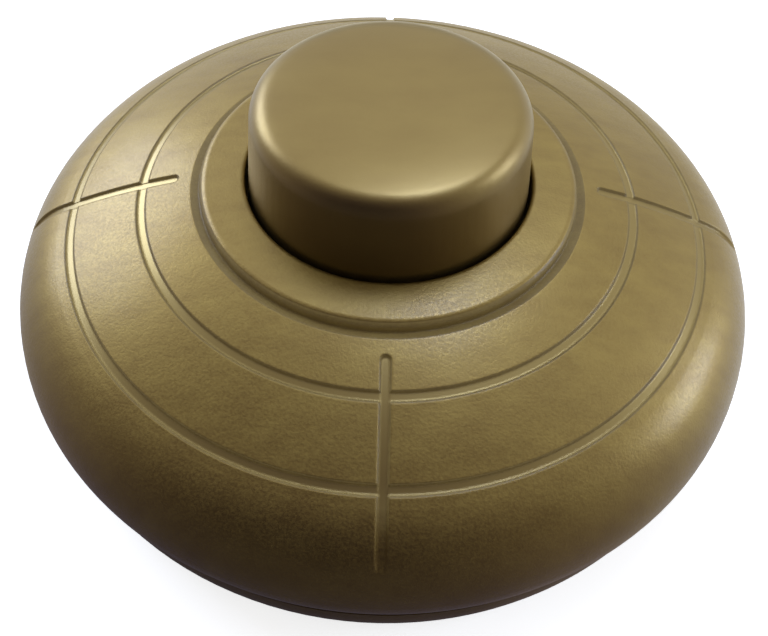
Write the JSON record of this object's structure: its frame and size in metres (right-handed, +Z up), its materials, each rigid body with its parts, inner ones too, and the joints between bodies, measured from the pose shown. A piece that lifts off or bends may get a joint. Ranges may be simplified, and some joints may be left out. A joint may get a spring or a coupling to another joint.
{
  "type": "foot switch",
  "caption": "Round in-line foot switch with a grooved dome cover, a raised push button and a flat base, opened for a lamp cord on both sides.",
  "frame": {"origin": "on the floor under the middle of the button, at the bottom of the rubber feet", "axes": "+Z up along the button's travel; +X from one cord inlet to the other; -Y to the front of the picture"},
  "size_m": [0.066, 0.066, 0.0295],
  "materials": {
    "cover": "satin gold-bronze metallic moulded plastic, finely grained",
    "button": "smooth gold-bronze metallic moulded plastic",
    "base": "satin bronze moulded plastic",
    "feet": "matt black rubber",
    "screws": "zinc-plated steel",
    "clamps": "natural moulded plastic",
    "terminals": "machined brass",
    "strips": "stamped brass strip",
    "tips": "silver contact rivet",
    "spring": "spring steel wire",
    "mechanism": "natural acetal"
  },
  "bodies": {
    "housing": {"cover": "cover", "base": "base", "rubber_feet": "feet", "housing_screws": "screws", "cord_clamp_left": "clamps", "cord_clamp_right": "clamps", "clamp_screws": "screws", "live_in_terminal": "terminals", "live_out_terminal": "terminals", "neutral_in_terminal": "terminals", "neutral_out_terminal": "terminals", "terminal_screws": "screws", "live_in_contact": "strips", "live_out_contact": "strips", "neutral_link": "strips", "fixed_contact_tips": "tips", "pivot_pin": "screws", "return_spring": "spring"},
    "wheel": {"ratchet_wheel": "mechanism", "bridge_contact": "strips", "moving_contact_tips": "tips", "retaining_ring": "screws", "thrust_washer": "screws"},
    "button": {"button_cap": "button", "plunger": "mechanism"}
  },
  "joints": [
    {"name": "button_press", "type": "slide", "parent": "housing", "child": "button", "axis": [0, 0, -1], "range_m": [0, 0.004], "stiffness_N_per_m": 1500, "springref_m": -0.003, "deforming": ["return_spring"]},
    {"name": "ratchet_turn", "type": "hinge", "parent": "housing", "child": "wheel", "pos_m": [0, 0, 0.009], "axis": [0, 0, 1], "range_deg": [0, 45]}
  ],
  "couplings": [
    {"joint": "ratchet_turn", "follows": "button_press", "rad_per_m": 196.3}
  ]
}
